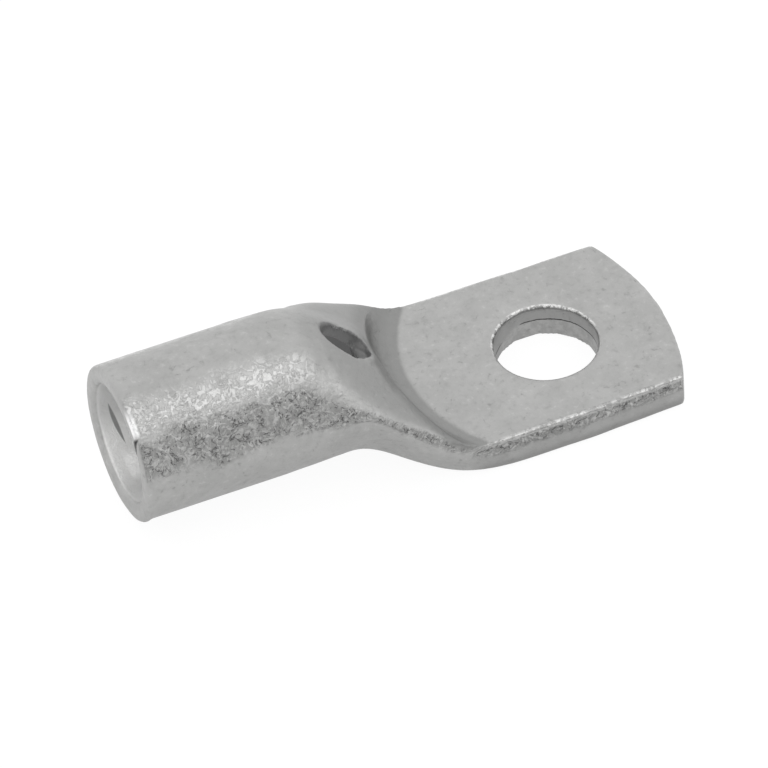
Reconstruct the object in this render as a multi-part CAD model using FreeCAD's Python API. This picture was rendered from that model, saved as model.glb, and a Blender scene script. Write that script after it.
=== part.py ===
import FreeCAD, Part
import math
import os

# A tubular cable lug, pressed from one piece of copper tube.
# X runs along the barrel, from its mouth at minus X to the palm's end at plus X.
# Z is up. The origin is on the stud hole's axis, at the palm's underside.

# Driving sizes of the tube, in millimetres
BARREL_OD = 13.0
WALL = 1.6
AXIS_HEIGHT = 7.4
MOUTH_TO_STUD = 37.0
BARREL_TO_STUD = 22.0
MOUTH_OUTER_CHAMFER = 0.25
MOUTH_INNER_CHAMFER = 0.3

# Driving sizes of the palm
PALM_THICKNESS = 3.2
PALM_WIDTH = 18.2
PALM_TO_STUD = 6.0
STUD_TO_END = 10.0
END_ARC = 19.0
END_CHAMFER = 0.3

# From beside the stud to the palm's end, each side draws in by this much
DRAWN_IN = 0.5
PALM_CORNERS_TO_STUD = 7.3

# The hole for the stud, with the rim that the punch draws in
STUD_HOLE = 8.4
PUNCH_CHAMFER = 0.25

# The neck, where the round tube slopes down and spreads out to the palm
NECK_SLOPE_DEG = 44.6
NECK_SLOPE_TO_STUD = 21.2
SHOULDER_SOFTNESS = 0.2
FOOT_SOFTNESS = 1.0
FOLD_RISE = 0.27
NECK_STEPS = 12
BORE_STEPS = 8

# How each side of the tube gives way in the neck: where that starts and where it is done,
# both measured to the stud, and a power that is below 1 for an early yield
UPPER_WIDER = (21.7, 10.9, 0.88)
LOWER_WIDER = (16.5, 6.0, 0.72)
TOP_FLAT = (17.9, 12.0, 1.1)
BOTTOM_FLAT = (17.4, 6.0, 0.48)
LOWERED = (19.0, 9.25, 1.0)

# The die that presses the palm: a round block whose lower edge is rounded, and its squeeze
DIE_TO_STUD = 2.5
DIE_FOOT_RADIUS = 14.1
DIE_EDGE_RADIUS = 2.5
DIE_DRAFT_DEG = 10.0
DIE_SQUEEZE = 0.1
DIE_EDGE_STEPS = 4

# The hole that shows whether the conductor is pushed home
PEEP_HOLE = 3.9
PEEP_TO_STUD = 17.1

# Lengths that only have to be small, or to reach past the metal
SEAM = 0.02
REACH = 30.0

BARREL_R = BARREL_OD / 2
BORE_R = BARREL_R - WALL
BARREL_TOP = AXIS_HEIGHT + BARREL_R
BARREL_BOTTOM = AXIS_HEIGHT - BARREL_R
HALF_WIDTH = PALM_WIDTH / 2
FOLDED = PALM_THICKNESS + DIE_SQUEEZE
NECK_SLOPE = math.tan(math.radians(NECK_SLOPE_DEG))
DIE_FRONT = DIE_FOOT_RADIUS - DIE_TO_STUD
DRAFT = math.tan(math.radians(DIE_DRAFT_DEG))
ALONG = FreeCAD.Vector(1, 0, 0)
UP = FreeCAD.Vector(0, 0, 1)

# A section is one smooth closed curve, pulled by points that stand round it at equal angles.
# In the palm the same points stand on a flat bar: these are the ones from the middle of its
# top to the middle of its side, as shares of its half width and of its half thickness.
ON_BAR = [(0.0, 1.0), (0.55, 1.0), (0.93, 1.0), (0.99, 0.9), (1.0, 0.0)]
QUARTER = len(ON_BAR) - 1
POINTS_ROUND = 4 * QUARTER
PULL = 3 / (2 + math.cos(2 * math.pi / POINTS_ROUND))


def point(x, y, z):
    return FreeCAD.Vector(x, y, z)


def ease(t):
    """A smooth step from 0 to 1."""
    t = min(1.0, max(0.0, t))
    return t * t * (3 - 2 * t)


def soft_ramp(height, softness):
    """Zero below 0 and the height itself above it, with a rounded bend between them."""
    return softness * math.log1p(math.exp(height / softness))


def top_height(x):
    """The tube's top along the middle: level, then down the neck, then the palm's top."""
    falling = BARREL_TOP - soft_ramp(NECK_SLOPE * (x + NECK_SLOPE_TO_STUD), SHOULDER_SOFTNESS)
    return FOLDED + soft_ramp(falling - FOLDED, FOOT_SOFTNESS)


def pressed(x, start, done, power):
    """How far one side has given way, from 0 in the barrel to 1 in the palm."""
    share = min(1.0, max(0.0, (x + start) / (start - done)))
    return ease(share ** power)


def bottom_height(x):
    """The tube's bottom along the middle, which comes down to the palm's underside."""
    return BARREL_BOTTOM - (BARREL_BOTTOM + DIE_SQUEEZE) * pressed(x, *LOWERED)


def section(x, inset):
    """The points round the tube at one place, or round a line one inset inside it."""
    spread = pressed(x, *UPPER_WIDER)
    lower_spread = min(spread, pressed(x, *LOWER_WIDER))
    drawn_in = DRAWN_IN * max(0.0, x / STUD_TO_END)
    low = bottom_height(x) + inset
    high = top_height(x) - inset
    middle = (low + high) / 2 + FOLD_RISE * (high - low) * 4 * spread * (1 - spread)
    points = []
    for i in range(POINTS_ROUND):
        turn = 2 * math.pi * i / POINTS_ROUND
        upper = i <= QUARTER or i >= 3 * QUARTER
        bar_y, bar_z = ON_BAR[min(i % (2 * QUARTER), -i % (2 * QUARTER))]
        share = pressed(x, *(TOP_FLAT if upper else BOTTOM_FLAT))
        across = abs(math.sin(turn)) * PULL * (1 - share) + bar_y * share
        above = abs(math.cos(turn)) * PULL * (1 - share) + bar_z * share
        side = 1 if turn < math.pi else -1
        half = BARREL_R + (HALF_WIDTH - BARREL_R) * (spread if upper else lower_spread) - inset
        beside = 0 if i % (2 * QUARTER) == 0 else side * (across * half - drawn_in)
        edge = high if upper else low
        points.append(point(x, beside, middle + above * (edge - middle)))
    return points


def make_skin(stations, inset):
    """A skin round the tube through its sections: smooth in the neck, straight between two places."""
    degree = 3 if len(stations) > 2 else 1
    knots = [stations[0]] * degree + stations + [stations[-1]] * degree
    places = [sum(knots[i + 1:i + 1 + degree]) / degree for i in range(len(knots) - degree - 1)]
    skin = Part.BSplineSurface()
    skin.buildFromPolesMultsKnots(
        [section(x, inset) for x in places],
        [degree + 1] + [1] * (len(stations) - 2) + [degree + 1],
        [1] * (POINTS_ROUND + 1),
        stations,
        list(range(POINTS_ROUND + 1)),
        False,
        True,
        degree,
        3,
    )
    return skin.toShape()


def lies_at(edge, x):
    """Whether an edge lies in the plane across the barrel at one place."""
    box = edge.BoundBox
    return abs(box.XMin - x) < SEAM / 2 and abs(box.XMax - x) < SEAM / 2


def make_pressed_tube(corners, steps, inset):
    """A closed body round the tube, with a skin between each two corners along X."""
    faces = []
    for first, last, count in zip(corners, corners[1:], steps):
        stations = [first + (last - first) * i / count for i in range(count + 1)]
        faces.append(make_skin(stations, inset))
    for skin, x in [(faces[0], corners[0]), (faces[-1], corners[-1])]:
        rim = [edge for edge in skin.Edges if lies_at(edge, x)]
        faces.append(Part.Face(Part.Wire(rim)))
    shell = Part.Shell(faces)
    shell.sewShape()
    return Part.Solid(shell)


def turned(profile, centre, axis, angle=360):
    """A body turned from an outline that lies in the plane of X and Z."""
    corners = [point(*corner) for corner in profile]
    face = Part.Face(Part.makePolygon(corners + corners[:1]))
    return face.revolve(centre, axis, angle)


def make_mouth_cutter():
    """A ring that takes the outer edge off the barrel's mouth."""
    mouth = -MOUTH_TO_STUD
    rim = AXIS_HEIGHT + BARREL_R
    outline = [
        (mouth - MOUTH_OUTER_CHAMFER, 0, rim - 2 * MOUTH_OUTER_CHAMFER),
        (mouth + 2 * MOUTH_OUTER_CHAMFER, 0, rim + MOUTH_OUTER_CHAMFER),
        (mouth - MOUTH_OUTER_CHAMFER, 0, rim + MOUTH_OUTER_CHAMFER),
    ]
    return turned(outline, point(0, 0, AXIS_HEIGHT), ALONG)


def make_end_cutter():
    """What is cut away past the palm's end, which leaves an arc with broken edges."""
    centre = STUD_TO_END - END_ARC
    past = END_CHAMFER * 2
    outline = [
        (STUD_TO_END, 0, END_CHAMFER),
        (STUD_TO_END, 0, PALM_THICKNESS - END_CHAMFER),
        (STUD_TO_END - past, 0, PALM_THICKNESS - END_CHAMFER + past),
        (STUD_TO_END + REACH, 0, PALM_THICKNESS - END_CHAMFER + past),
        (STUD_TO_END + REACH, 0, END_CHAMFER - past),
        (STUD_TO_END - past, 0, END_CHAMFER - past),
    ]
    axis = point(centre, 0, 0)
    ring = turned(outline, axis, UP, 90)
    ring.rotate(axis, UP, -45)
    return ring


def make_die(inset):
    """The space that the die presses free, or that space grown by one inset on all sides."""
    radius = DIE_EDGE_RADIUS + inset
    middle = PALM_THICKNESS + DIE_EDGE_RADIUS
    outline = [(0, 0, middle + REACH), (0, 0, middle - radius)]
    for i in range(DIE_EDGE_STEPS + 1):
        turn = math.radians(90 - DIE_DRAFT_DEG) * i / DIE_EDGE_STEPS
        outline.append((DIE_FOOT_RADIUS + radius * math.sin(turn), 0, middle - radius * math.cos(turn)))
    outline.append((outline[-1][0] + REACH * DRAFT, 0, middle + REACH))
    block = turned(outline, point(0, 0, 0), UP)
    block.translate(point(DIE_TO_STUD, 0, 0))
    return block


def make_bed():
    """The flat block that the palm is pressed against."""
    return Part.makeBox(2 * REACH, 2 * REACH, REACH, point(-REACH, -REACH, -REACH))


def make_bore():
    """The inside: a round bore for the conductor that narrows to a slit in the neck."""
    start = -MOUTH_TO_STUD - MOUTH_INNER_CHAMFER
    round_length = -BARREL_TO_STUD - start
    straight = Part.makeCylinder(BORE_R, round_length, point(start, 0, AXIS_HEIGHT), ALONG)
    into_straight = -BARREL_TO_STUD - SEAM
    corners = [into_straight, -BARREL_TO_STUD, -DIE_FRONT]
    narrowing = make_pressed_tube(corners, [1, BORE_STEPS], WALL + SEAM).cut(make_die(WALL))
    flare = Part.makeCone(
        BORE_R + 2 * MOUTH_INNER_CHAMFER,
        BORE_R - MOUTH_INNER_CHAMFER,
        3 * MOUTH_INNER_CHAMFER,
        point(start, 0, AXIS_HEIGHT),
        ALONG,
    )
    return straight.fuse([flare, narrowing])


def make_peep_hole():
    """A hole drilled straight down through the upper wall."""
    return Part.makeCylinder(PEEP_HOLE / 2, REACH, point(-PEEP_TO_STUD, 0, AXIS_HEIGHT), UP)


def make_stud_hole():
    """What the punch takes out: a round hole whose upper rim is drawn in."""
    radius = STUD_HOLE / 2
    hole = Part.makeCylinder(radius, REACH, point(0, 0, -REACH / 2), UP)
    rim = Part.makeCone(
        radius - PUNCH_CHAMFER,
        radius + 2 * PUNCH_CHAMFER,
        3 * PUNCH_CHAMFER,
        point(0, 0, PALM_THICKNESS - 2 * PUNCH_CHAMFER),
        UP,
    )
    return hole.fuse(rim)


def make_lug():
    corners = [
        -MOUTH_TO_STUD, -BARREL_TO_STUD, -PALM_TO_STUD, 0, PALM_CORNERS_TO_STUD, STUD_TO_END + END_CHAMFER
    ]
    lug = make_pressed_tube(corners, [1, NECK_STEPS, 1, 1, 1], 0)
    lug = lug.cut(make_mouth_cutter())
    lug = lug.cut(make_end_cutter())
    lug = lug.cut(make_die(0))
    lug = lug.cut(make_bed())
    lug = lug.cut(make_bore())
    lug = lug.cut(make_peep_hole())
    return lug.cut(make_stud_hole())


lug = make_lug()
os.makedirs("parts", exist_ok=True)
lug.exportStep("parts/cable_lug.step")
print("solids", len(lug.Solids), "valid", lug.isValid(), "volume", round(lug.Volume, 1), "mm3")
corners = [(min(v), max(v)) for v in zip(*lug.tessellate(0.05)[0])]
print("box", [(round(low, 2), round(high, 2)) for low, high in corners])
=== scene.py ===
# %% [markdown]
# A tubular cable lug, pressed from one piece of copper tube and plated with tin.
# The solid comes in as a fixed frame. Blender adds what a press, a punch, a drill and a plating
# bath leave on the metal: soft edges, a wrinkled band along each side, a torn wall in the stud
# hole and a burr at the small one.

# %% Load the frame
import math
from types import SimpleNamespace

import bpy
import numpy as np
from mathutils import Matrix, Vector


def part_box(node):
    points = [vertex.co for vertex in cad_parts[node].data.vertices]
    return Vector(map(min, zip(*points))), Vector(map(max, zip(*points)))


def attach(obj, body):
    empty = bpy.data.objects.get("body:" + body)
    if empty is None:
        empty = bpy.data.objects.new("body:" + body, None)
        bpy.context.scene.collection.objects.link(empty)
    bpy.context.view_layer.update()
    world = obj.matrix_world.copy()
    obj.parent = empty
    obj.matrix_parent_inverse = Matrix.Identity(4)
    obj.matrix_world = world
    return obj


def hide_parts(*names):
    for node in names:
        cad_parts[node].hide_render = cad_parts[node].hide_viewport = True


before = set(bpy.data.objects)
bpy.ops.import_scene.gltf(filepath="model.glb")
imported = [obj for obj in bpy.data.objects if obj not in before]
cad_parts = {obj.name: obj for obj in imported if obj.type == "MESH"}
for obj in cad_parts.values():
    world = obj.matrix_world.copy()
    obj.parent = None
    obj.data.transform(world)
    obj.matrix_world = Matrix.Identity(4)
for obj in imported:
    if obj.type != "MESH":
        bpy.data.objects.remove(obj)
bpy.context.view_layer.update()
lug_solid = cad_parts["cable_lug"]
lug_low, lug_high = (np.array(corner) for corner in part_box("cable_lug"))
MM = 0.001
print("lug, mm:", ((lug_high - lug_low) / MM).round(2))

# %% [markdown]
# The lug is photographed from above its open end with a long lens, so its far edges hardly
# shrink. The camera looks from one direction, leans a little to one side, and is aimed beside
# the stud hole, because the hole isn't in the middle of the picture.

# %% Place the camera
VIEW_TURN = math.radians(-20.575)
VIEW_RISE = math.radians(43.651)
VIEW_LEAN = math.radians(-3.739)
VIEW_DISTANCE = 1.2
LENS_OVER_SENSOR = 19.5
PALM_TOP = 3.2 * MM
AIM_RIGHT = -12.96 * MM
AIM_UP = -3.41 * MM

back = Vector((
    math.sin(VIEW_TURN) * math.cos(VIEW_RISE),
    -math.cos(VIEW_TURN) * math.cos(VIEW_RISE),
    math.sin(VIEW_RISE),
))
level_right = Vector((math.cos(VIEW_TURN), math.sin(VIEW_TURN), 0))
level_up = back.cross(level_right)
right = level_right * math.cos(VIEW_LEAN) + level_up * math.sin(VIEW_LEAN)
up = level_up * math.cos(VIEW_LEAN) - level_right * math.sin(VIEW_LEAN)

camera_data = bpy.data.cameras.new("camera")
camera_data.sensor_width = 36
camera_data.lens = camera_data.sensor_width * LENS_OVER_SENSOR
camera_data.clip_start = 0.1
camera = bpy.data.objects.new("camera", camera_data)
bpy.context.scene.collection.objects.link(camera)
aim = Vector((0, 0, PALM_TOP)) + right * AIM_RIGHT + up * AIM_UP
turned = Matrix((right, up, back)).transposed().to_4x4()
camera.matrix_world = Matrix.Translation(aim + back * VIEW_DISTANCE) @ turned
bpy.context.scene.camera = camera
bpy.context.scene.view_settings.view_transform = "Standard"
print("camera, m:", tuple(round(v, 3) for v in camera.location))

# %% [markdown]
# Nodes are written as sums. Value wraps one output socket, so that a * b + 1 adds the Math nodes
# by itself, and Tree.node makes every other node from its type, settings and inputs. The same
# two classes serve the shaders and the Geometry Nodes.


# %% Write nodes as expressions
class Value:
    """A number that changes over the surface."""

    def __init__(self, tree, socket):
        self.tree = tree
        self.socket = socket

    def maths(self, operation, *others):
        return self.tree.node("ShaderNodeMath", {"operation": operation}, [self, *others])

    def __add__(self, other):
        return self.maths("ADD", other)

    def __sub__(self, other):
        return self.maths("SUBTRACT", other)

    def __mul__(self, other):
        return self.maths("MULTIPLY", other)

    def __truediv__(self, other):
        return self.maths("DIVIDE", other)

    def __rsub__(self, other):
        return self.tree.node("ShaderNodeMath", {"operation": "SUBTRACT"}, [other, self])

    def __pow__(self, other):
        return self.maths("POWER", other)

    __radd__ = __add__
    __rmul__ = __mul__

    def output(self, name):
        """Another output of the same node."""
        return Value(self.tree, self.socket.node.outputs[name])

    def at_least(self, other):
        return self.maths("MAXIMUM", other)

    def at_most(self, other):
        return self.maths("MINIMUM", other)

    def size(self):
        return self.maths("ABSOLUTE")

    def between(self, low, high):
        """Smoothly from 0 at low to 1 at high, and back the other way if low is the higher."""
        flip = low > high
        stops = (high, low) if flip else (low, high)
        step = self.tree.node(
            "ShaderNodeMapRange",
            {"interpolation_type": "SMOOTHSTEP"},
            {"Value": self, "From Min": stops[0], "From Max": stops[1]},
        )
        return 1 - step if flip else step

    def within(self, start, low, high, end):
        """Smoothly up from start to low, and down again from high to end."""
        return self.between(start, low) * self.between(end, high)

    def axes(self):
        """The three parts of a vector."""
        split = self.tree.node("ShaderNodeSeparateXYZ", inputs=[self])
        return split, split.output("Y"), split.output("Z")


class Tree:
    """The nodes of one material, world or Geometry Nodes group."""

    def __init__(self, node_tree):
        self.node_tree = node_tree
        self.node_tree.nodes.clear()

    def node(self, kind, settings=None, inputs=(), out=0):
        made = self.node_tree.nodes.new(kind)
        for name, value in (settings or {}).items():
            setattr(made, name, value)
        pairs = inputs.items() if isinstance(inputs, dict) else enumerate(inputs)
        for key, value in pairs:
            if isinstance(value, Value):
                self.node_tree.links.new(value.socket, made.inputs[key])
            else:
                made.inputs[key].default_value = value
        if not made.outputs:
            return None
        return Value(self, made.outputs[out])

    def mix(self, share, first, second):
        """From one colour to the other."""
        return self.node(
            "ShaderNodeMix",
            {"data_type": "RGBA"},
            {0: share, 6: first, 7: second},
            out=2,
        )

    def layered(self, colour, layers):
        """Colours laid over a first one, each by its own share."""
        for share, over in layers:
            colour = self.mix(share, colour, over)
        return colour

    def vectors(self, operation, inputs):
        """Maths on whole vectors."""
        return self.node("ShaderNodeVectorMath", {"operation": operation}, inputs)

    def noise(self, place, scale, detail=2.0, kind="FBM", roughness=0.5, distortion=0.0):
        """Clouds, from 0 to 1 with a mean of a half, or other noise of a named kind."""
        settings = {"noise_type": kind, "normalize": True}
        inputs = {
            "Vector": place,
            "Scale": scale,
            "Detail": detail,
            "Roughness": roughness,
            "Distortion": distortion,
        }
        return self.node("ShaderNodeTexNoise", settings, inputs)


def new_material(name):
    material = bpy.data.materials.new(name)
    material.use_nodes = True
    return material, Tree(material.node_tree)


def even(level):
    """A neutral grey as a colour."""
    return (level, level, level, 1)


# %% [markdown]
# The lug lies on white paper. Enough light to turn plain paper fully white would wash the metal
# out, so the floor is plain paper only to soft light. To the camera it glows up to white, and to
# the metal's mirror rays about half as much. It still takes a little light there as well, and so
# the lug's soft shadow shows.

# %% Lay the floor
FLOOR_HALF = 1.5
PAPER = 0.85
SEEN_GLOW = 0.92
SEEN_LIT = 0.12
MIRRORED_GLOW = 0.46
MIRRORED_LIT = 0.5


def make_sheet(name, corners, material):
    mesh = bpy.data.meshes.new(name)
    mesh.from_pydata(corners, [], [(0, 1, 2, 3)])
    sheet = bpy.data.objects.new(name, mesh)
    bpy.context.scene.collection.objects.link(sheet)
    mesh.materials.append(material)
    return sheet


def white_floor():
    """Plain paper to soft light, which glows for the camera and for the metal."""
    material, tree = new_material("white_floor")
    rays = tree.node("ShaderNodeLightPath")
    mirrored = rays.output("Is Glossy Ray").at_least(rays.output("Is Transmission Ray"))
    paper = tree.node("ShaderNodeBsdfDiffuse", inputs={"Color": even(PAPER)})
    shown = paper
    for ray, lit, glow in [
        (mirrored, MIRRORED_LIT, MIRRORED_GLOW),
        (rays.output("Is Camera Ray"), SEEN_LIT, SEEN_GLOW),
    ]:
        thin = tree.node("ShaderNodeBsdfDiffuse", inputs={"Color": even(lit)})
        shine = tree.node("ShaderNodeEmission", inputs={"Color": even(1), "Strength": glow})
        both = tree.node("ShaderNodeAddShader", inputs=[thin, shine])
        shown = tree.node("ShaderNodeMixShader", inputs=[ray, shown, both])
    tree.node("ShaderNodeOutputMaterial", inputs=[shown])
    return material


half = FLOOR_HALF
make_sheet(
    "floor",
    [(-half, -half, 0), (half, -half, 0), (half, half, 0), (-half, half, 0)],
    white_floor(),
)
print("floor:", 2 * half, "m square")

# %% [markdown]
# Metal shows what stands round it. The world below is an even white, as in a light tent, and alone
# it would leave the barrel flat and pale. A dark card, low in front where a real tent is open,
# draws the dark band along the barrel. It is hidden from the camera, from soft light and from
# shadows, so it changes only what the metal mirrors.

# %% Stand a dark card in front
CARD_GREY = 0.12
CARD_TO_LUG = 0.5
CARD_HALF = 0.9
CARD_LOW = -0.02
CARD_HIGH = 0.14


def grey_card(name, grey):
    material, tree = new_material(name)
    glow = tree.node("ShaderNodeEmission", inputs={"Color": even(grey), "Strength": 1.0})
    tree.node("ShaderNodeOutputMaterial", inputs=[glow])
    return material


front_card = make_sheet(
    "front_card",
    [(-CARD_HALF, -CARD_TO_LUG, CARD_LOW), (CARD_HALF, -CARD_TO_LUG, CARD_LOW),
     (CARD_HALF, -CARD_TO_LUG, CARD_HIGH), (-CARD_HALF, -CARD_TO_LUG, CARD_HIGH)],
    grey_card("dark_card", CARD_GREY),
)
front_card.visible_camera = False
front_card.visible_diffuse = False
front_card.visible_shadow = False
print("card: up to", CARD_HIGH, "m")

# %% [markdown]
# The white world is most of the light. One square lamp above the card adds the bright band over
# the dark one, and the shadow on the floor. Its size sets how soft both are: a small lamp would
# draw a hard line, which satin tin doesn't show.

# %% Light the tent
LAMP_FROM = Vector((0.22, -0.42, 0.88)).normalized()
LAMP_DISTANCE = 0.9
LAMP_SIZE = 0.35
LAMP_WATTS = 0.34

world = bpy.data.worlds.new("studio")
world.use_nodes = True
bpy.context.scene.world = world
sky = Tree(world.node_tree)
tent = sky.node("ShaderNodeBackground", inputs={"Color": even(1), "Strength": 1.0})
sky.node("ShaderNodeOutputWorld", inputs=[tent])

lamp_data = bpy.data.lights.new("front_box", "AREA")
lamp_data.shape = "SQUARE"
lamp_data.size = LAMP_SIZE
lamp_data.energy = LAMP_WATTS
lamp = bpy.data.objects.new("front_box", lamp_data)
bpy.context.scene.collection.objects.link(lamp)
lamp.location = LAMP_FROM * LAMP_DISTANCE
lamp.rotation_euler = LAMP_FROM.to_track_quat("Z", "Y").to_euler()
print("lamp, m:", tuple(round(v, 2) for v in lamp.location))

# %% [markdown]
# The solid's mesh is exact but its edges are knife-sharp, and no pressed and tumbled copper has
# such edges. A Bevel needs clean faces on both sides of an edge, and the solid's mesh is long thin
# triangles. A voxel remesh of a copy, with a little smoothing, rounds every edge by about the same
# amount, as tumbling does, and gives an even mesh that can carry small dents.

# %% Round the edges of a copy
VOXEL_MM = 0.192
WELD_MM = 0.0005
SMOOTH_FACTOR = 0.5
SMOOTH_STEPS = 4


def applied(obj):
    """The object with its modifiers worked into its mesh, and none left on it."""
    bpy.context.view_layer.update()
    graph = bpy.context.evaluated_depsgraph_get()
    mesh = bpy.data.meshes.new_from_object(obj.evaluated_get(graph))
    obj.modifiers.clear()
    old = obj.data
    obj.data = mesh
    bpy.data.meshes.remove(old)
    return obj


def make_softened_lug():
    """A copy of the solid in millimetres, remeshed evenly."""
    mesh = lug_solid.data.copy()
    mesh.materials.clear()
    lug = bpy.data.objects.new("tinned_lug", mesh)
    bpy.context.scene.collection.objects.link(lug)
    mesh.transform(Matrix.Scale(1 / MM, 4))
    weld = lug.modifiers.new("weld", "WELD")
    weld.merge_threshold = WELD_MM
    remesh = lug.modifiers.new("remesh", "REMESH")
    remesh.mode = "VOXEL"
    remesh.voxel_size = VOXEL_MM
    remesh.use_smooth_shade = True
    smooth = lug.modifiers.new("smooth", "SMOOTH")
    smooth.factor = SMOOTH_FACTOR
    smooth.iterations = SMOOTH_STEPS
    return applied(lug)


tinned_lug = make_softened_lug()
tinned_lug.data.calc_loop_triangles()
print("softened lug:", len(tinned_lug.data.loop_triangles), "triangles")

# %% [markdown]
# Some small forms belong to the pressed piece and not to its drawing. The shoulder, where the neck
# starts, is one long soft bend, so the positions there are blurred along the mesh. The upper wall
# round the inspection hole stands fuller than its sides, and the drill left a burr on the lower
# side of that hole. The palm's two corners are pushed out, and the mouth has a faint lip.
# Their heights are the named inputs of one Geometry Nodes group, so that each can be turned up or
# down. The distances from the lug's own axes serve every step from here on.

# %% Name the places on the lug, in millimetres
SKIN_INPUTS = {
    "Neck fullness": 0.75,
    "Near corner pushed out": 0.3,
    "Far corner pushed out": 0.38,
    "Lip height": 0.13,
    "Burr height": 0.2,
    "Wrinkle height": 0.08,
    "Wrinkles per mm": 1.0,
    "Swell height": 0.05,
    "Swells per mm": 0.25,
}
AXIS_HEIGHT = 7.4
PEEP_TO_STUD = 17.1
SHOULDER = (-25, -23, -20.3, -19.4)
PALM_STARTS = (-10.5, -8.5)
DEGREES = 180 / math.pi


def round_the_barrel(y, z):
    """Distance from the barrel's axis, and the angle up from the side that faces the camera."""
    from_axis = (y * y + (z - AXIS_HEIGHT) ** 2) ** 0.5
    angle = (z - AXIS_HEIGHT).maths("ARCTAN2", y * -1) * DEGREES
    return from_axis, angle


def off_stud_axis(x, y):
    """Distance from the axis of the stud hole."""
    return (x * x + y * y) ** 0.5


def off_peep_axis(x, y):
    """Distance from the axis of the inspection hole."""
    return off_stud_axis(x + PEEP_TO_STUD, y)


# %% [markdown]
# Each small form is a mask over the lug's places times a height. Sculpting by hand would look as
# good, but a mask can be read and changed, and gives the same lug each run.

# %% Shape the small forms
SHOULDER_BLURS = 70


def find_small_forms(tree, given, place):
    """How far each point moves for the bend, the neck, the burr, the corners and the lip."""
    x, y, z = place.axes()
    blurred = tree.node(
        "GeometryNodeBlurAttribute",
        {"data_type": "FLOAT_VECTOR"},
        {"Value": place, "Iterations": SHOULDER_BLURS},
    )
    bend = tree.vectors("SUBTRACT", [blurred, place])
    bend = tree.vectors("SCALE", {0: bend, "Scale": x.within(*SHOULDER)})

    neck_top = x.within(-21.0, -17.6, -15.6, -14.0) * y.size().between(5.2, 1.2) * z.between(5.5, 8.0)
    burr = off_peep_axis(x, y).within(1.7, 2.0, 2.3, 2.8) * x.between(-16.6, -15.8) * z.between(5.0, 6.0)
    raised = neck_top * given.output("Neck fullness") + burr * given.output("Burr height")
    near_corner = x.between(3.5, 8.0) * y.between(-2, -9) * given.output("Near corner pushed out")
    far_corner = x.between(0.0, 7.5) * y.between(5, 9) * given.output("Far corner pushed out")

    from_axis, angle = round_the_barrel(y, z)
    lip = x.between(-36.15, -36.7) * angle.within(-80, -60, 0, 18) * from_axis.between(5.3, 6.2)
    lip = lip * given.output("Lip height") / from_axis
    moved = tree.node(
        "ShaderNodeCombineXYZ",
        inputs=[near_corner, lip * y + far_corner, raised + lip * (z - AXIS_HEIGHT)],
    )
    return tree.vectors("ADD", [bend, moved])


# %% [markdown]
# Later steps have to know which surface a point is on, and a mesh has no names for its surfaces.
# Its places and normals tell. A normal that points at the tube's middle line is inside. The wall
# that the die pressed lies on the die's own form, so that form is worked out again here, from the
# sizes of the solid. The neck's slope is what faces the palm and the sky.

# %% Tell the surfaces apart
DIE_TO_STUD = 2.5
DIE_FOOT_RADIUS = 14.1
DIE_EDGE_RADIUS = 2.5
DIE_DRAFT = math.radians(10)
NECK_STARTS = -22
NECK_FALL = 0.46
PALM_MIDDLE = 1.6


def off_die_wall(x, y, z):
    """How far a place is, level, behind the wall that the die's rounded front pressed."""
    rise = (z - PALM_TOP / MM).at_least(0)
    bend = DIE_EDGE_RADIUS * (1 - math.sin(DIE_DRAFT))
    low = rise.at_most(bend)
    rounded = (2 * DIE_EDGE_RADIUS * low - low * low) ** 0.5
    drafted = (rise - bend).at_least(0) * math.tan(DIE_DRAFT)
    from_die = off_stud_axis(x - DIE_TO_STUD, y)
    return from_die - DIE_FOOT_RADIUS - rounded - drafted, rise


def find_surfaces(place, normal):
    """Masks for the tube's inside, for all that is outside, the die's wall and the neck's slope."""
    x, y, z = place.axes()
    along, across, upwards = normal.axes()
    middle_height = (AXIS_HEIGHT - NECK_FALL * (x - NECK_STARTS).at_least(0)).at_least(PALM_MIDDLE)
    inwards = (middle_height - z) * upwards - y * across
    inwards = inwards / (y * y + (middle_height - z) ** 2) ** 0.5
    inside = inwards.between(0.2, 0.5) * x.between(-8.5, -9.5)
    in_stud_hole = off_stud_axis(x, y).between(4.7, 4.5)

    off_wall, rise = off_die_wall(x, y, z)
    near_wall = off_wall.within(-0.7, -0.35, 0.3, 1.3) * rise.between(0.0, 0.04)
    return SimpleNamespace(
        inside=inside,
        outside=(1 - inside) * (1 - in_stud_hole),
        die_wall=near_wall * x.between(0, -2) * upwards.between(-0.2, 0.1),
        slope=along.between(0.2, 0.65) * upwards.between(0.1, 0.5) * x.within(-22, -20, -9.5, -9),
    )


# %% [markdown]
# Where the tube's side folds in the press, its skin wrinkles like orange peel. On the barrel this is a
# dark band that faces outwards and a little up, with a shining band above it, and both run on along the
# neck. The shine of the upper band is partly painted highlight, laid on in the shader. On the palm only
# the side and its upper rim are rough. The tilt of the normal says where such a band lies on any of
# these forms, and a slow noise makes its edges ragged.

# %% Find the wrinkled bands
DARK_TILT = (5, 16, 38, 48)
BRIGHT_TILT = (40, 52, 64, 78)
RAGGED_DEGREES = 26
FAR_SIDE_HIGHER = 14
NECK_HIGHER = 9
WRINKLES_IN_BRIGHT = 0.4


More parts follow.
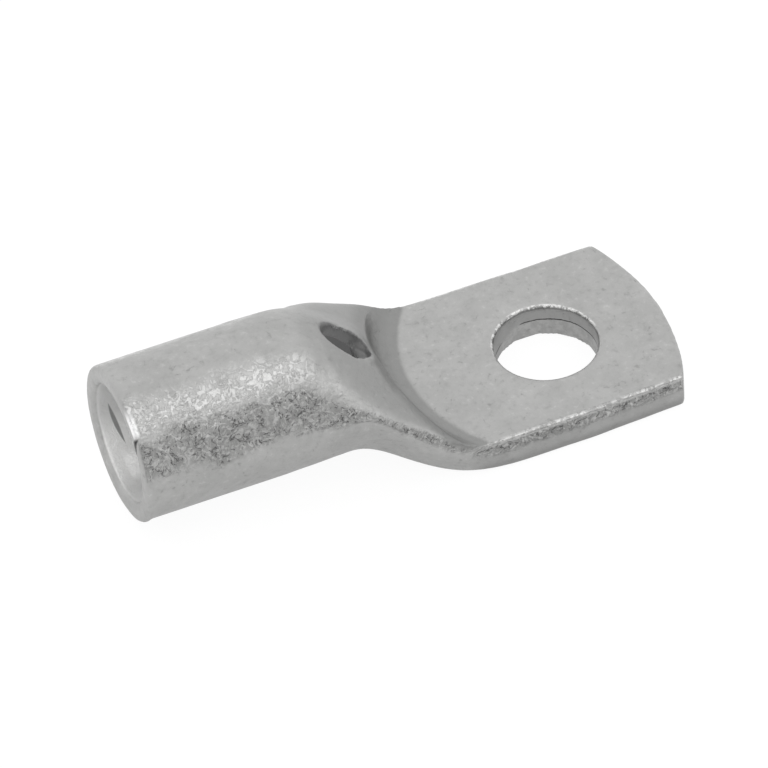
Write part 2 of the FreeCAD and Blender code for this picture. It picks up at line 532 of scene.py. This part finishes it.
def find_bands(tree, place, normal, on):
    """The masks that the shader needs, by name, and how much the skin wrinkles."""
    x, y, z = place.axes()
    along, across, upwards = normal.axes()
    tilt = upwards.maths("ARCTAN2", across.size()) * DEGREES
    ragged = tilt + (tree.noise(place, 0.4, 3.0) - 0.5) * RAGGED_DEGREES
    ragged = ragged + across.between(0.0, 0.3) * FAR_SIDE_HIGHER + x.between(-25, -20) * NECK_HIGHER
    side_on = along.size().between(0.8, 0.5)
    skin = side_on * on.outside * (1 - on.die_wall) * y.size().between(1.0, 2.0)
    palm = x.between(*PALM_STARTS)
    dark = ragged.within(*DARK_TILT) * skin * (1 - palm)
    bright = ragged.within(*BRIGHT_TILT) * skin * (1 - palm) * (0.15 + x.between(-19, -24) * 0.85)
    palm_side = tilt.between(40, 15) * side_on * on.outside * palm
    palm_rim = tilt.within(30, 42, 60, 75) * skin * palm * z.between(2.4, 2.8)
    masks = {
        "inside": on.inside,
        "die_wall": on.die_wall * on.outside,
        "neck_slope": on.slope * on.outside,
        "dark_band": (dark + palm_side * z.within(1.7, 2.3, 2.8, 3.0)).at_most(1),
        "bright_band": (bright + palm_rim).at_most(1),
        "palm_side": palm_side,
    }
    return masks, dark + bright * WRINKLES_IN_BRIGHT


# %% [markdown]
# The group moves the points for the small forms first, then keeps the masks as attributes on the
# mesh, and last lifts the skin along its normals: by ridged noise in the bands, and by a slow
# swell all over, because no hand-pressed surface is quite even.

# %% Build the skin's group
def skin_group(material):
    group = bpy.data.node_groups.new("wrinkled_skin", "GeometryNodeTree")
    group.interface.new_socket("Geometry", in_out="INPUT", socket_type="NodeSocketGeometry")
    for name, value in SKIN_INPUTS.items():
        socket = group.interface.new_socket(name, in_out="INPUT", socket_type="NodeSocketFloat")
        socket.default_value = value
    group.interface.new_socket("Geometry", in_out="OUTPUT", socket_type="NodeSocketGeometry")
    tree = Tree(group)
    given = tree.node("NodeGroupInput")
    place = tree.node("GeometryNodeInputPosition")
    normal = tree.node("GeometryNodeInputNormal")

    change = find_small_forms(tree, given, place)
    shape = given.output("Geometry")
    shape = tree.node("GeometryNodeSetPosition", inputs={"Geometry": shape, "Offset": change})
    on = find_surfaces(place, normal)
    masks, wrinkled = find_bands(tree, place, normal, on)
    for name, mask in masks.items():
        shape = tree.node(
            "GeometryNodeStoreNamedAttribute",
            {"data_type": "FLOAT", "domain": "POINT"},
            {"Geometry": shape, "Name": name, "Value": mask},
        )
    wrinkles = tree.noise(place, given.output("Wrinkles per mm"), 3.0, "RIDGED_MULTIFRACTAL")
    swells = tree.noise(place, given.output("Swells per mm"), 1.0) - 0.5
    lift = (wrinkles - 0.5) * wrinkled * given.output("Wrinkle height")
    lift = lift + swells * given.output("Swell height") * (1 - on.inside)
    offset = tree.vectors("SCALE", {0: normal, "Scale": lift})
    shape = tree.node("GeometryNodeSetPosition", inputs={"Geometry": shape, "Offset": offset})
    shape = tree.node("GeometryNodeRealizeInstances", inputs={"Geometry": shape})
    shape = tree.node("GeometryNodeSetMaterial", inputs={"Geometry": shape, "Material": material})
    tree.node("NodeGroupOutput", inputs=[shape])
    return group


def set_input(modifier, name, value):
    """Gives a Geometry Nodes modifier one of its named inputs."""
    for item in modifier.node_group.interface.items_tree:
        if item.in_out == "INPUT" and item.name == name:
            modifier[item.identifier] = value


# %% [markdown]
# Tin plating is a grey, satin metal. It is smooth where the die pressed it flat, and speckled where the
# skin is wrinkled. One material does all of it, because it is one skin: the kept masks and the Object
# coordinates, in millimetres, say where each finish and each painted light or shade lies. All its detail
# comes from a few noises, and each finish reads the same ones, so that a fleck is painted pale as a
# glint, and is rough and raised at once.

# %% Read the places and mix the noises
# Features per mm, detail, roughness and distortion of each noise
NOISES = {
    "clouds": (0.35, 4.0, 0.6, 0.0),
    "mottle": (1.6, 5.0, 0.7, 0.0),
    "crumple": (1.0, 4.0, 0.6, 0.8),
    "specks": (1.5, 5.0, 0.66, 1.9),
    "patches": (0.75, 2.0, 0.5, 0.0),
    "grain": (7.0, 3.0, 0.5, 0.0),
    "contours": (0.3, 3.0, 0.5, 0.8),
}


def read_places(tree):
    """Where a point is: on the three axes, round the barrel and from the two holes."""
    coordinates = tree.node("ShaderNodeTexCoord").output("Object")
    place = tree.vectors("MULTIPLY", [coordinates, (1 / MM, 1 / MM, 1 / MM)])
    x, y, z = place.axes()
    from_axis, angle = round_the_barrel(y, z)
    return SimpleNamespace(
        place=place,
        x=x,
        y=y,
        z=z,
        from_axis=from_axis,
        angle=angle,
        from_stud=off_stud_axis(x, y),
        from_peep=off_peep_axis(x, y),
    )


def read_masks(tree, at):
    """The masks that the skin's group kept on the mesh."""
    names = ["inside", "die_wall", "neck_slope", "dark_band", "bright_band", "palm_side"]
    masks = {}
    for name in names:
        masks[name] = tree.node("ShaderNodeAttribute", {"attribute_name": name}).output("Fac")
    masks["inside"] = masks["inside"] * at.x.between(-36.75, -36.55)
    return SimpleNamespace(**masks)


def make_noises(tree, at):
    """The noises of the table, and the scratches along the contours of one of them."""
    made = {}
    for name, (scale, detail, roughness, distortion) in NOISES.items():
        made[name] = tree.noise(
            at.place, scale, detail, roughness=roughness, distortion=distortion
        )
    noise = SimpleNamespace(**made)
    noise.patches = noise.patches.between(0.36, 0.6)
    lines = (noise.contours - 0.5).size().between(0.009, 0.002)
    noise.scratches = lines * noise.mottle.between(0.52, 0.6)
    return noise


# %% [markdown]
# The satin skin is a grey that drifts between two tones, with a darker and a paler mottle and a few hair
# scratches. The die's wall, the neck's slope and the palm's side are darkened as painted shade, the
# palm's side more so towards the floor. In the bands, the pits and cracks are painted shade of the
# wrinkles, the flecks are painted glints, and the upper band and the palm's rim get a painted highlight.

# %% Colour the satin and the bands
TIN_DULL = (0.365, 0.366, 0.36, 1)
TIN_PALE = (0.545, 0.544, 0.538, 1)
MOTTLE_DARK = (0.28, 0.281, 0.276, 1)
MOTTLE_PALE = (0.68, 0.68, 0.672, 1)
SCRATCH = (0.2, 0.2, 0.195, 1)
# Painted shade for the neck's slope, the die's wall and the palm's side.
SLOPE_SHADE = (0.26, 0.261, 0.257, 1)
DIE_WALL_SHADE = (0.245, 0.246, 0.242, 1)
PALM_SIDE_SHADE = (0.24, 0.24, 0.237, 1)
# Painted shade for the wrinkles, and painted glints and highlight for the bands.
PIT_SHADE = (0.2, 0.2, 0.197, 1)
FLECK_GLINT = (0.8, 0.8, 0.79, 1)
BAND_HIGHLIGHT = (0.82, 0.82, 0.812, 1)


def colour_satin(tree, at, on, noise):
    return tree.layered(tree.mix(noise.clouds, TIN_DULL, TIN_PALE), [
        (noise.mottle.between(0.5, 0.7) * 0.3, MOTTLE_DARK),
        (noise.mottle.between(0.44, 0.3) * 0.3, MOTTLE_PALE),
        (noise.scratches * 0.3, SCRATCH),
        # Painted shade: the neck's slope, the die's wall and the palm's side are darker, the palm's side
        # more so towards the floor.
        (on.neck_slope * 0.6, SLOPE_SHADE),
        (on.die_wall * 0.72, DIE_WALL_SHADE),
        (on.palm_side * (0.3 + at.z.between(1.3, 0.5) * 0.3), PALM_SIDE_SHADE),
    ])


def colour_bands(tree, grey, at, on, noise):
    blotches = 0.3 + noise.patches * 0.7
    # Painted shade in the pits and cracks of the wrinkles, painted glints on the flecks, and painted
    # highlight over the upper band and along the palm's rim.
    pit_shade = noise.specks.between(0.5, 0.54) * on.dark_band * blotches
    crack_shade = (noise.crumple - 0.5).size().between(0.03, 0.01) * noise.mottle.between(0.45, 0.5)
    fleck_glints = noise.specks.between(0.47, 0.4) * on.dark_band * (1 - noise.patches * 0.5)
    band_highlight = on.bright_band * (0.08 + noise.specks.between(0.51, 0.45) * 0.42 + noise.patches * 0.2)
    palm_edge = at.x.between(*PALM_STARTS) * blotches
    edge_glints = on.bright_band * palm_edge * noise.specks.between(0.56, 0.46)
    return tree.layered(grey, [
        (pit_shade * 0.5, PIT_SHADE),
        (crack_shade * on.dark_band * 0.75, even(0.07)),
        (fleck_glints * 0.4, FLECK_GLINT),
        ((band_highlight + edge_glints * 0.45).at_most(1), BAND_HIGHLIGHT),
    ])


# %% [markdown]
# A punch cuts cleanly through the upper part of the palm and tears out the rest, so the stud hole's
# wall is smooth above and rough below, with a crack between the two that dips towards one side.
# Its upper rim is polished by the punch, and on its far side it gets a painted highlight.

# %% Colour the stud hole
FRACTURE_HEIGHT = 1.72
FRACTURE_DIP = 0.65
CUT_WALL = (0.31, 0.31, 0.307, 1)
TORN_WALL = (0.5, 0.5, 0.494, 1)
SHADED_WALL = (0.2, 0.2, 0.197, 1)
RIM_POLISH_AND_HIGHLIGHT = (0.95, 0.95, 0.94, 1)


def colour_stud_hole(tree, grey, at, noise):
    """The grey with the hole's wall and rim laid over it, and the crack for the relief."""
    wall = at.from_stud.between(4.4, 4.3) * at.z.between(3.1, 3.0)
    rim = at.from_stud.within(4.15, 4.25, 4.36, 4.48) * at.z.between(2.85, 2.95)
    around = at.y.size().maths("ARCTAN2", at.x) * DEGREES
    dip = around.within(98, 135, 145, 178) * FRACTURE_DIP
    fracture = FRACTURE_HEIGHT - dip + (noise.crumple - 0.5) * 0.25
    unbroken = 1 - around.within(95, 99, 122, 134)
    unbroken = unbroken * (at.y.between(-2, 0) + noise.mottle.between(0.48, 0.52)).at_most(1)
    crack = (at.z - fracture).size().between(0.08, 0.03) * unbroken * wall
    torn = (at.z - fracture).between(0.3, -0.3) * wall
    # Polish on the rim, with a painted highlight that grows towards the far side.
    rim_polish_and_highlight = rim * (0.15 + at.y.between(-0.5, 1.0) * 0.65)
    grey = tree.layered(grey, [
        (wall * 0.6, CUT_WALL),
        (torn * (0.25 + noise.mottle.between(0.56, 0.42) * 0.5), TORN_WALL),
        (wall * around.between(115, 150) * 0.4, SHADED_WALL),
        (crack * 0.9, even(0.03)),
        (rim_polish_and_highlight * noise.specks.between(0.56, 0.46), RIM_POLISH_AND_HIGHLIGHT),
    ])
    return grey, crack


# %% [markdown]
# Nothing rubs the bore, so it is pale and nearly matt. One side of its wall is painted lighter, as
# painted light, and a thin crescent on its upper side is painted shadow, the shadow line behind the
# mouth's inner edge. The neck inside and the wall of the inspection hole are painted dark as shade, and
# get a faint glow in place of the light that bounces between walls this close. A strip deeper in the
# bore glows faintly too, as painted light.
# On the mouth's ring one bright streak is painted highlight, and at its end lies a thin near-black nick.

# %% Colour the bore and the mouth
BORE_SIDE = (0.72, 0.72, 0.715, 1)
BORE_PAINTED_LIGHT = (1.0, 1.0, 0.99, 1)


def colour_bore(tree, at):
    """The bore's grey, with painted light and painted shade, and how far a place is in the neck."""
    # Painted light: the bore is paler on one side of its wall.
    facing_light = (at.angle + 128).size().between(50, 10)
    off_line = (at.x + 35.4 - (at.angle + 155) * 0.015).size()
    # Painted shadow: a thin dark crescent behind the mouth's inner edge.
    crescent = off_line - 0.18 + ((at.angle + 155) / 22) ** 2 * 0.18
    crescent = crescent.between(0.05, -0.05) * at.angle.between(-125, -132)
    in_neck = at.x.between(-23, -20)
    # Painted shade: deep in the neck the bore is dark.
    grey = tree.layered(tree.mix(facing_light, BORE_SIDE, BORE_PAINTED_LIGHT), [
        (crescent * 0.8, even(0.2)),
        (in_neck, even(0.2)),
    ])
    return grey, in_neck


def find_mouth_marks(at):
    """The painted highlight streak and the nick on the mouth's ring."""
    at_mouth = at.x.between(-36.45, -36.7)
    highlight_streak = at_mouth * at.angle.within(42, 49, 56, 70) * at.from_axis.between(5.85, 6.1)
    off_line = (at.from_axis - 5.0 - (at.angle - 29) / 13).size()
    nick = off_line.between(0.38, 0.22) * at.angle.within(26, 29, 42, 45) * at_mouth
    return highlight_streak, nick


# %% [markdown]
# The same noises make a fine relief, a twentieth of a millimetre high, through a bump, because real
# displacement as fine as this would take millions of triangles. The finishes, with their painted light
# and shade, then go on in order: the skin outside, the stud hole, the bore, the small hole's wall and
# the marks at the mouth. The bore is mostly plain and hardly metallic, which is how so matt a skin
# scatters light.

# %% Put the plating together
RELIEF_MM = 0.05


def make_relief(on, noise, crack, nick):
    """The fine height of the skin, from the same noises as its colours."""
    relief = noise.mottle * 0.5 + noise.grain * 0.2 - noise.scratches * 0.3 - crack - nick
    flakes = noise.specks.between(0.46, 0.54) + noise.grain * 0.8
    rough = on.dark_band + on.bright_band * 0.8
    relief = relief + (flakes * 0.55 + noise.crumple * 3.0) * rough
    return relief + noise.crumple * 0.5 + noise.crumple.between(0.47, 0.53) * 0.16


def make_tin():
    material, tree = new_material("tin_plating")
    # The faint glow in the bore lights nothing, so it isn't sampled as a lamp.
    material.cycles.emission_sampling = "NONE"
    at = read_places(tree)
    on = read_masks(tree, at)
    noise = make_noises(tree, at)

    grey = colour_satin(tree, at, on, noise)
    grey = colour_bands(tree, grey, at, on, noise)
    grey, crack = colour_stud_hole(tree, grey, at, noise)
    bore_grey, in_neck = colour_bore(tree, at)
    peep_wall = at.from_peep.between(2.15, 2.0) * at.z.between(4.5, 5.0)
    peep_wall = peep_wall * at.x.within(-20, -19, -15, -14)
    highlight_streak, nick = find_mouth_marks(at)
    grey = tree.layered(grey, [
        (on.inside, bore_grey),
        # Painted shade: the inspection hole's wall is painted nearly black.
        (peep_wall * 0.85, even(0.12)),
        # Painted highlight: the bright streak on the mouth's ring.
        (highlight_streak, even(1.0)),
        (nick, even(0.015)),
    ])
    # Painted light: faint glows deep in the neck, on the inspection hole's wall and along a strip in the
    # bore.
    inner_light = at.x.between(-35.75, -35.55) * (at.angle + 110).size().between(18, 8)
    bounced = (on.inside + peep_wall * 0.7).at_most(1) * (in_neck * 0.085 + inner_light * 0.1)

    height = make_relief(on, noise, crack, nick)
    bump = tree.node(
        "ShaderNodeBump",
        inputs={"Height": height, "Strength": 1.0, "Distance": RELIEF_MM * MM},
    )
    shader = tree.node(
        "ShaderNodeBsdfPrincipled",
        inputs={
            "Base Color": grey,
            "Metallic": 1 - on.inside * 0.8,
            "Roughness": 0.33 + noise.clouds * 0.1 + on.dark_band * 0.06 - highlight_streak * 0.1,
            "Emission Color": tree.mix(bounced, even(0), even(1)),
            "Emission Strength": 1.0,
            "Normal": bump,
        },
    )
    tree.node("ShaderNodeOutputMaterial", inputs=[shader])
    return material


# %% [markdown]
# The material and the group meet on the remeshed copy. The result is worked into a plain mesh,
# back in metres, which rides on the lug's body and is seen in place of the solid.

# %% Give the lug its skin
tin = make_tin()
print("tin plating:", len(tin.node_tree.nodes), "nodes")
wrinkling = tinned_lug.modifiers.new("skin", "NODES")
wrinkling.node_group = skin_group(tin)
for name, value in SKIN_INPUTS.items():
    set_input(wrinkling, name, value)
applied(tinned_lug)
tinned_lug.data.transform(Matrix.Scale(MM, 4))
tinned_lug.data.shade_smooth()
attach(tinned_lug, "root")
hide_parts("cable_lug")
print("skinned lug:", len(tinned_lug.data.vertices), "points")

# %% [markdown]
# The dressed lug's box should differ from the solid's only by the pushed corner and the swells, a few
# hundredths of a millimetre.
